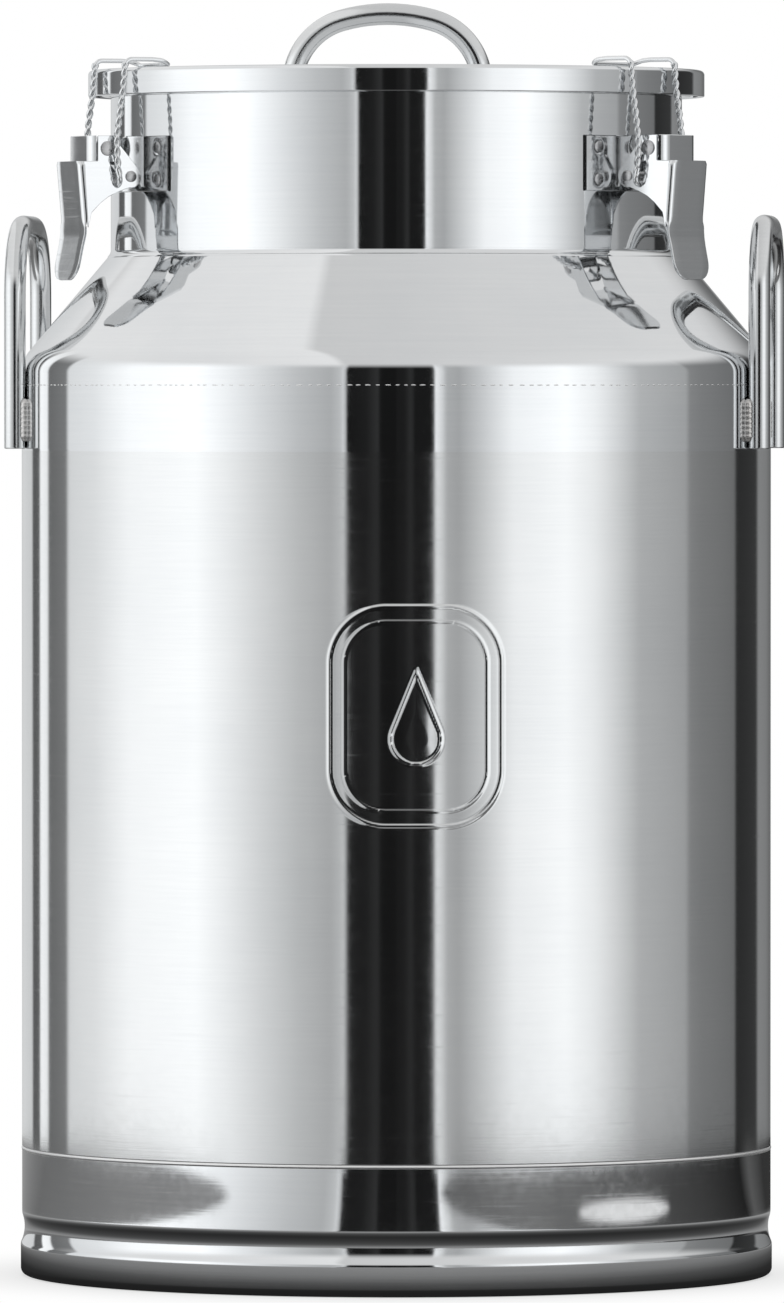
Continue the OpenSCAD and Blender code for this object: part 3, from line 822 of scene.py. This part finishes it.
def slab(loops, low, high, edge=0.22):
    """Plate from outlines in (u, z), the first one outside and the others holes, between two values of v.
    The outer edges are broken by a small chamfer."""
    verts, faces, starts = [], [], []
    flat = []
    for n, loop in enumerate(loops):
        pts = [Vector((u, z, 0)) for u, z in loop]
        area = sum(a.x * b.y - b.x * a.y for a, b in zip(pts, pts[1:] + pts[:1]))
        if (area > 0) != (n == 0):
            pts = pts[::-1]
        inset = []
        for a, b, c in zip(pts[-1:] + pts[:-1], pts, pts[1:] + pts[:1]):
            d0, d1 = (b - a).normalized(), (c - b).normalized()
            n0, n1 = Vector((-d0.y, d0.x, 0)), Vector((-d1.y, d1.x, 0))
            inset.append(b + (n0 + n1) * (edge / max(0.3, 1 + n0.dot(n1))))
        flat.append((pts, inset))
    for sign, v, v_in in ((1, high, high - edge), (-1, low, low + edge)):
        base = len(verts)
        rings = []
        for pts, inset in flat:
            rings.append((len(verts), len(pts)))
            verts += [(p.x, v, p.y) for p in inset] + [(p.x, v_in, p.y) for p in pts]
        flat_ids = [start + k for start, count in rings for k in range(count)]
        for tri in tessellate_polygon([inset for _, inset in flat]):
            ids = [flat_ids[k] for k in tri]
            a, b, c = (Vector(verts[k]) for k in ids)
            if (b - a).cross(c - a).y * sign < 0:
                ids = ids[::-1]
            faces.append(tuple(ids))
        for start, count in rings:
            for k in range(count):
                m = (k + 1) % count
                quad = (start + k, start + m, start + count + m, start + count + k)
                faces.append(quad if sign < 0 else quad[::-1])
        starts.append(rings)
    for (s1, count), (s2, _) in zip(*starts):
        for k in range(count):
            m = (k + 1) % count
            faces.append((s1 + count + m, s1 + count + k, s2 + count + k, s2 + count + m)[::-1])
    return verts, faces


def skin(rows, thick_rows):
    """Closed sheet from a grid of outer points and the matching inner points."""
    n, m = len(rows), len(rows[0])
    verts = [p for row in rows for p in row] + [p for row in thick_rows for p in row]
    off = n * m
    faces = []
    for r in range(n - 1):
        for c in range(m - 1):
            a = r * m + c
            faces.append((a, a + 1, a + m + 1, a + m))
            faces.append((off + a, off + a + m, off + a + m + 1, off + a + 1))
    rim = [(0, c) for c in range(m)] + [(r, m - 1) for r in range(1, n)]
    rim += [(n - 1, c) for c in range(m - 2, -1, -1)] + [(r, 0) for r in range(n - 2, 0, -1)]
    for (r0, c0), (r1, c1) in zip(rim, rim[1:] + rim[:1]):
        a, b = r0 * m + c0, r1 * m + c1
        faces.append((a, off + a, off + b, b))
    return verts, faces


def blend(a, b, t):
    t = min(1.0, max(0.0, t))
    return a + (b - a) * t * t * (3 - 2 * t)


def lever_front(corner):
    """The lever's back plate and tongue: bent round into the cheeks above, flat and rounded off below."""
    heights = [WEB_TOP[1] - h for h in (0, 0.25, 0.7, 1.5, 4, 10, 18, 24, 26, 27.5)]
    heights += [TONGUE_BEND[1] + h for h in (2.4, 1.6, 0.8, 0, -0.8, -1.6, -2.4, -6, -11.5)]
    heights += [TONGUE_TIP[1] + 8.0 * (1 - math.sin(math.radians(a))) for a in range(5, 91, 8)] + [TONGUE_TIP[1]]
    up = (WEB_TOP[0] - TONGUE_BEND[0]) / (WEB_TOP[1] - TONGUE_BEND[1])
    down = (TONGUE_TIP[0] - TONGUE_BEND[0]) / (TONGUE_BEND[1] - TONGUE_TIP[1])
    outer, inner = [], []
    for z in heights:
        h = z - TONGUE_BEND[1]
        u = TONGUE_BEND[0] + (up * h if h > 0 else -down * h)
        if abs(h) < 2.4:
            u += (up + down) * (2.4 - abs(h)) ** 2 / 9.6
        lean = math.atan(up if h > 0 else -down) if abs(h) >= 2.4 else math.atan(blend(-down, up, (h + 2.4) / 4.8))
        wide = CHEEK - 1.0 * blend(1, 0, (WEB_TOP[1] - z) / 1.5) - 0.5 * blend(0, 1, (-h - 1) / 3)
        tip = z - TONGUE_TIP[1]
        if tip < 8.0:
            wide = wide - 8.0 + math.sqrt(max(0.0, 64 - (8.0 - tip) ** 2))
        r = blend(0.35, corner, (z - TONGUE_BEND[1] - 1.5) / 4.0)
        # out, sideways, and the turn of the surface from facing out to facing sideways
        section = [(-r + r * math.sin(a), -wide + r - r * math.cos(a), math.pi / 2 - a)
                   for a in np.radians(range(0, 91, 15))]
        section += [(0.0, (-wide + r) * k, 0.0) for k in (0.6, 0.2, -0.2, -0.6)]
        section += [(du, -v, -t) for du, v, t in section[6::-1]]
        outer.append([(u + du, v, z) for du, v, _ in section])
        inner.append([(u + du - SHEET * math.cos(t) * math.cos(lean), v + SHEET * math.sin(t),
                       z + SHEET * math.cos(t) * math.sin(lean)) for du, v, t in section])
    return skin(outer, inner)


def lever_nose():
    """The rounded band over the pivot."""
    low, high, r = WEB_TOP[1] - 0.2, LEVER_TOP, 5.5
    front = PIVOT[0] + 7.9
    plan = [(front - r + r * math.sin(a), -(CHEEK - r) - r * math.cos(a), math.pi / 2 - a)
            for a in np.radians(range(30, 91, 6))]
    plan = plan + [(front, 0.0, 0.0)] + [(u, -v, -t) for u, v, t in plan[::-1]]
    levels = [(low, 0.25), (low + 0.25, 0), (high - 0.25, 0), (high, 0.25)]
    outer = [[(u - e * math.cos(t), v + e * math.sin(t), z) for u, v, t in plan] for z, e in levels]
    inner = [[(u - (SHEET - e) * math.cos(t), v + (SHEET - e) * math.sin(t), z) for u, v, t in plan]
             for z, e in levels]
    return skin(outer, inner)


def round_loop(points, radii, step=0.6):
    """Closed outline with each corner rounded."""
    out = []
    n = len(points)
    for i in range(n):
        a, b, c = (Vector((*points[(i + k) % n], 0)) for k in (-1, 0, 1))
        corner = bend_path([a, b, c], [radii[i]], step)[1:-1] if radii[i] else [b]
        out += [(p.x, p.y) for p in corner]
    return out


def out_at(low, high, z):
    """Distance out, at height z, of the line between two points."""
    return low[0] + (high[0] - low[0]) * (z - low[1]) / (high[1] - low[1])


def capsule(a, b, r):
    """Outline of a slot between two points."""
    turn = math.degrees(math.atan2(b[1] - a[1], b[0] - a[0]))
    return arc(b[0], b[1], r, turn - 90, turn + 90, 10) + arc(a[0], a[1], r, turn + 90, turn + 270, 10)


def lever(name, turn):
    """Two cheeks with a slot for the bail, joined by the back plate and the band."""
    corner = 2.5
    slit = PIVOT[0] + 4.6
    low_z = PIVOT[1] - 34.5
    low_u = out_at(TONGUE_BEND, WEB_TOP, low_z) - corner + 0.6
    cheek = arc(SPACER[0], SPACER[1], 4.9, 280, 146, 14)
    cheek += round_loop([(PIVOT[0] - 5.0, LEVER_TOP), (slit, LEVER_TOP), (slit, WEB_TOP[1] + 0.1),
                         (WEB_TOP[0] - corner, WEB_TOP[1]), (low_u, PIVOT[1] - 34),
                         (PIVOT[0] + 7.6, PIVOT[1] - 28)], [1.6, 0.6, 0.3, 0.4, 0, 6])
    cheek += [(PIVOT[0] + u, PIVOT[1] + z) for u, z in ((3.2, -23.4), (-0.4, -20.8), (-4.8, -18.6))]
    slot = capsule((HOOK[0] + 2.1, HOOK[1] + 11.6), (HOOK[0], HOOK[1]), 1.4)
    parts = [slab([cheek, slot], *sorted((side * CHEEK, side * (CHEEK - SHEET)))) for side in (-1, 1)]
    parts += [lever_front(corner), lever_nose()]
    verts, faces = join(parts)
    make(f"lever_sheet_{name}", [place(turn, *p) for p in verts], faces, latch_steel, f"lever_{name}",
         [f"lever_{name}"], sharp=32)


EAR_R, EAR_NOTCH, EAR_OUT = 5.5, 10.9, CHEEK - SHEET - 0.2
NOTCH_END = 199  # the notch lets the lever's band pass when the latch is open
BASE_HALF, BASE_H = 14.0, 24.0


def dent(v, z):
    """Depth of the pressed dents in the base plate, z down from its top edge."""
    deep = 0.0
    for side in (-1, 1):
        for middle in (5.0, 19.0):
            far = math.hypot((v - side * 23.0) / 2.6, (z - middle) / 3.4)
            deep += 0.75 * blend(1, 0, (far - 0.35) / 0.75)
    return deep


def latch_base(name, turn):
    """Curved plate on the neck with pressed dents, and the two ears."""
    top = PIVOT[1] + EAR_R
    edge, back_r = 0.35, NECK_R - 0.1
    heights = [(0, edge), (edge, 0)] + [(z, 0) for z in np.linspace(1, BASE_H - 1, 45)]
    heights += [(BASE_H - edge, 0), (BASE_H, edge)]
    across = [-BASE_HALF, 0.16 - BASE_HALF, *np.linspace(0.4 - BASE_HALF, BASE_HALF - 0.4, 61),
              BASE_HALF - 0.16, BASE_HALF]
    outer, inner = [], []
    for dz, low in heights:
        z = top - BASE_H + dz
        row, back = [], []
        for degrees in across:
            a = math.radians(degrees)
            end = edge if abs(degrees) == BASE_HALF else 0.0
            r = NECK_R + SHEET - low - end - dent(a * NECK_R, BASE_H - dz)
            row.append((r * math.cos(a), r * math.sin(a), z))
            back.append((back_r * math.cos(a), back_r * math.sin(a), z))
        outer.append(row)
        inner.append(back)
    notch = math.degrees(math.pi - math.asin(EAR_R / EAR_NOTCH))
    ear = [(NECK_R - 1, top)] + arc(*PIVOT, EAR_NOTCH, notch, NOTCH_END, 10)
    ear += arc(*PIVOT, EAR_R, NOTCH_END, -75, 30) + [(NECK_R + 4.5, PIVOT[1] - EAR_R - 1.3)]
    ear += [(NECK_R + 1.5, top - BASE_H + 2), (NECK_R - 1, top - BASE_H + 2)]
    parts = [skin(outer, inner)]
    parts += [slab([ear], *sorted((side * EAR_OUT, side * (EAR_OUT - SHEET)))) for side in (-1, 1)]
    verts, faces = join(parts)
    make(f"latch_plate_{name}", [place(turn, *p) for p in verts], faces, latch_steel, "can",
         [f"latch_base_{name}"], sharp=32)


for name, turn in LATCHES:
    lever(name, turn)
    latch_base(name, turn)


def dress(node, mat, width):
    """Finish for a CAD node that stays as it is: smooth shading and edges rounded by width mm."""
    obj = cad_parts[node]
    mesh, angle = obj.data, math.radians(40)
    mesh.materials.clear()
    mesh.materials.append(mat)
    mesh.polygons.foreach_set("material_index", [0] * len(mesh.polygons))
    mesh.polygons.foreach_set("use_smooth", [True] * len(mesh.polygons))
    mesh.set_sharp_from_angle(angle=angle)
    weld = obj.modifiers.new("merge", "WELD")
    weld.merge_threshold = 0.01 * MM
    mod = obj.modifiers.new("edges", "BEVEL")
    mod.width = width * MM
    mod.segments = 2
    mod.limit_method = "ANGLE"
    mod.angle_limit = angle
    mod.harden_normals = True


for name, _ in LATCHES:
    dress(f"pivot_pin_{name}", pin_steel, 0.25)
    dress(f"spacer_pin_{name}", pin_steel, 0.2)
dress("latch_spot_welds", pin_steel, 0.15)
dress("lid_gasket", silicone, 0.3)


# ---------------------------------------------------------------- stage: floor, world, camera

REFLECTED = 0.8  # share of light the steel gives back


def lum(v):
    """Brightness on screen to light."""
    return (v**2.2) / REFLECTED


# Brightness of the studio by direction, in degrees from the camera towards the picture's right
STUDIO = [
    (-180, 0.70), (-165, 0.78), (-152, 0.78), (-150, 0.33), (-143.5, 0.36), (-142, 0.96), (-136, 0.92),
    (-134.5, 0.40), (-122.5, 0.46), (-120.5, 0.84), (-106, 0.88), (-90, 0.98), (-64, 1.02), (-53, 0.94),
    (-42, 0.84), (-30, 0.73), (-20, 0.66), (-17.0, 0.72), (-15.7, 0.84), (-15.0, 0.11), (-9, 0.14),
    (-5.6, 0.20), (-4.8, 0.11), (2.5, 0.13), (4.6, 0.20), (5.4, 0.12), (11.2, 0.12), (11.9, 0.92),
    (14.0, 0.80), (15.2, 0.66), (19, 0.63), (26, 0.77), (36, 0.94), (53, 1.0), (63, 0.93), (80, 0.68),
    (100, 0.61), (102, 0.50), (108, 0.47), (127.5, 0.42), (129, 0.18), (146, 0.22), (149, 0.50),
    (160, 0.46), (170, 0.36), (180, 0.70),
]


def azimuth_fac(nt, vector):
    """0..1 round the horizon, 0.5 towards the camera."""
    turn = math_node(nt, "ARCTAN2", along(nt, vector, TO_RIGHT), along(nt, vector, TO_CAMERA))
    return map_range(nt, turn, -math.pi, math.pi, 0.0, 1.0)


def studio_ramp(nt, fac):
    """Light of the studio round the horizon: one ramp for each half, as a ramp holds 32 stops."""
    halves = []
    for low, high in ((-180, 0), (0, 180)):
        stops = [(a, v) for a, v in STUDIO if low <= a <= high]
        halves.append(ramp(nt, map_range(nt, fac, (low + 180) / 360, (high + 180) / 360, 0.0, 1.0),
                           [((a - low) / 180, tuple(lum(v) * c for c in (0.985, 1.0, 1.01))) for a, v in stops]))
    return mix_colour(nt, math_node(nt, "GREATER_THAN", fac, 0.5), *halves)


def studio():
    """World: what the steel mirrors. The camera itself sees plain white."""
    world = bpy.data.worlds.new("studio")
    bpy.context.scene.world = world
    nt = tree_of(world)
    direction = add(nt, "ShaderNodeTexCoord").outputs["Generated"]
    up = along(nt, direction, (0, 0, 1))
    ceiling = ramp(nt, map_range(nt, along(nt, direction, TO_RIGHT), -1, 1, 0.0, 1.0),
                   [(0.0, lum(0.84)), (0.355, lum(0.87)), (0.375, lum(0.765)), (0.6, lum(0.79)), (1.0, lum(0.84))])
    horizon = studio_ramp(nt, azimuth_fac(nt, direction))
    sky = mix_colour(nt, map_range(nt, up, 0.2, 0.5, 0.0, 1.0, True), horizon, ceiling)
    dimmed = add(nt, "ShaderNodeVectorMath", operation="SCALE")
    nt.links.new(sky, dimmed.inputs[0])
    nt.links.new(map_range(nt, up, -0.5, -0.1, 0.7, 1.0), dimmed.inputs["Scale"])
    chosen = mix_shaders(nt, add(nt, "ShaderNodeLightPath").outputs["Is Camera Ray"],
                         glow(nt, "ShaderNodeBackground", dimmed.outputs[0]),
                         glow(nt, "ShaderNodeBackground", (1, 1, 1, 1)))
    nt.links.new(chosen, add(nt, "ShaderNodeOutputWorld").inputs["Surface"])


studio()

FLOOR_SIZE, FLOOR_DROP = 30.0, 0.0002
# What the low part of the can mirrors: a round table with a dark shape to the left and one to the right.
# Directions in degrees as in STUDIO, distances from the can's axis in metres.
TABLE_R = 1.12
NEAR_R = (0.42, 0.56)
SHAPE_MID, SHAPE_HALF = 0.86, 0.27
LEFT_TIP, LEFT_SPREAD = -47.0, -30.0
RIGHT_TIP, RIGHT_SPREAD, RIGHT_TILT = 12.5, 14.0, -6.0
SPOT_TURN, SPOT_AWAY, SPOT_SIZE = 67.0, 0.72, (16.0, 0.09)


def table_light(nt, fac, away):
    """Light given back by the table, by direction and distance."""
    turn = map_range(nt, fac, 0.0, 1.0, -180.0, 180.0)
    q = math_node(nt, "DIVIDE", math_node(nt, "SUBTRACT", away, SHAPE_MID), SHAPE_HALF)
    qq = math_node(nt, "MULTIPLY", q, q)
    left = math_node(nt, "SUBTRACT", math_node(nt, "MULTIPLY_ADD", qq, LEFT_SPREAD, LEFT_TIP), turn)
    right = math_node(nt, "SUBTRACT", turn, math_node(nt, "MULTIPLY_ADD", qq, RIGHT_SPREAD, RIGHT_TIP))
    right = math_node(nt, "SUBTRACT", right, math_node(nt, "MULTIPLY", q, RIGHT_TILT))
    dark_left = map_range(nt, left, -1.0, 3.0, 0.0, 1.0, True)
    dark_right = map_range(nt, right, -1.0, 2.0, 0.0, 1.0, True)
    du = math_node(nt, "DIVIDE", math_node(nt, "SUBTRACT", turn, SPOT_TURN), SPOT_SIZE[0])
    dv = math_node(nt, "DIVIDE", math_node(nt, "SUBTRACT", away, SPOT_AWAY), SPOT_SIZE[1])
    spread = math_node(nt, "ADD", math_node(nt, "MULTIPLY", du, du), math_node(nt, "MULTIPLY", dv, dv))
    spot = map_range(nt, spread, 0.8, 1.15, 1.0, 0.0, True)
    light = studio_ramp(nt, fac)
    left_tone = ramp(nt, fac, [(0.0, lum(0.60)), (0.14, lum(0.40)), (0.34, lum(0.50))])
    right_tone = ramp(nt, fac, [(0.54, lum(0.36)), (0.6, lum(0.42)), (0.72, lum(0.28)), (0.84, lum(0.14)),
                                (0.86, lum(0.33)), (0.9, lum(0.2))])
    light = mix_colour(nt, dark_left, light, left_tone)
    light = mix_colour(nt, dark_right, light, right_tone)
    light = mix_colour(nt, spot, light, (lum(0.86),) * 3)
    near = map_range(nt, away, *NEAR_R, 0.0, 1.0, True)
    close = ramp(nt, map_range(nt, away, 0.15, 0.55, 0.0, 1.0),
                 [(0.0, lum(0.12)), (0.12, lum(0.18)), (0.25, lum(0.30)), (0.4, lum(0.46)), (0.7, lum(0.56))])
    return mix_colour(nt, near, close, light)


def floor():
    """The camera sees a white floor with the can's contact shadow painted on. The steel mirrors the table instead.
    """
    mesh = bpy.data.meshes.new("floor")
    half = FLOOR_SIZE / 2
    corners = [(-half, -half, 0), (half, -half, 0), (half, half, 0), (-half, half, 0)]
    mesh.from_pydata(corners, [], [(0, 1, 2, 3)])
    obj = bpy.data.objects.new("floor", mesh)
    obj.location.z = -FLOOR_DROP
    bpy.context.collection.objects.link(obj)
    mat = bpy.data.materials.new("pale_floor")
    nt = tree_of(mat)
    where = add(nt, "ShaderNodeNewGeometry").outputs["Position"]
    shade = add(nt, "ShaderNodeAmbientOcclusion", samples=12)
    shade.inputs["Distance"].default_value = 0.10
    # painted shadow: the floor's white glow is darkened by ambient occlusion round the can
    painted_contact_shadow = map_range(nt, shade.outputs["AO"], 0.25, 0.95, 0.70, 1.0, True)
    length = add(nt, "ShaderNodeVectorMath", operation="LENGTH")
    nt.links.new(where, length.inputs[0])
    away = length.outputs["Value"]
    beyond = map_range(nt, away, TABLE_R - 0.03, TABLE_R + 0.03, 0.0, 1.0, True)
    table = mix_shaders(nt, beyond, glow(nt, "ShaderNodeEmission", table_light(nt, azimuth_fac(nt, where), away)),
                        add(nt, "ShaderNodeBsdfTransparent").outputs[0])
    both = mix_shaders(nt, add(nt, "ShaderNodeLightPath").outputs["Is Camera Ray"], table,
                       glow(nt, "ShaderNodeEmission", painted_contact_shadow))
    nt.links.new(both, add(nt, "ShaderNodeOutputMaterial").inputs["Surface"])
    mesh.materials.append(mat)


floor()


LIGHT_AIM = 0.3


def soft_light(name, where, energy, side):
    data = bpy.data.lights.new(name, "AREA")
    data.energy = energy
    data.size = side
    obj = bpy.data.objects.new(name, data)
    obj.location = where
    obj.rotation_mode = "QUATERNION"
    obj.rotation_quaternion = (Vector((0, 0, LIGHT_AIM)) - Vector(where)).to_track_quat("-Z", "Y")
    obj.visible_camera = False
    obj.visible_glossy = False
    bpy.context.collection.objects.link(obj)


soft_light("key", (-1.6, -1.8, 2.2), 12, 1.2)

CAMERA_AWAY, CAMERA_HIGH, AIM_HIGH, AIM_SIDE = 6.0, 0.389, 0.2714, -0.0019
LENS = 380.1
camera_data = bpy.data.cameras.new("camera")
camera_data.sensor_width = 36
camera_data.lens = LENS
camera_data.clip_end = 100
camera = bpy.data.objects.new("camera", camera_data)
bpy.context.collection.objects.link(camera)
camera.location = TO_CAMERA * CAMERA_AWAY + Vector((0, 0, CAMERA_HIGH))
aim = Vector((0, 0, AIM_HIGH)) + TO_RIGHT * AIM_SIDE
camera.rotation_mode = "QUATERNION"
camera.rotation_quaternion = (aim - camera.location).to_track_quat("-Z", "Y")
bpy.context.scene.camera = camera

bpy.context.scene.view_settings.view_transform = "Standard"
bpy.context.scene.view_settings.look = "None"
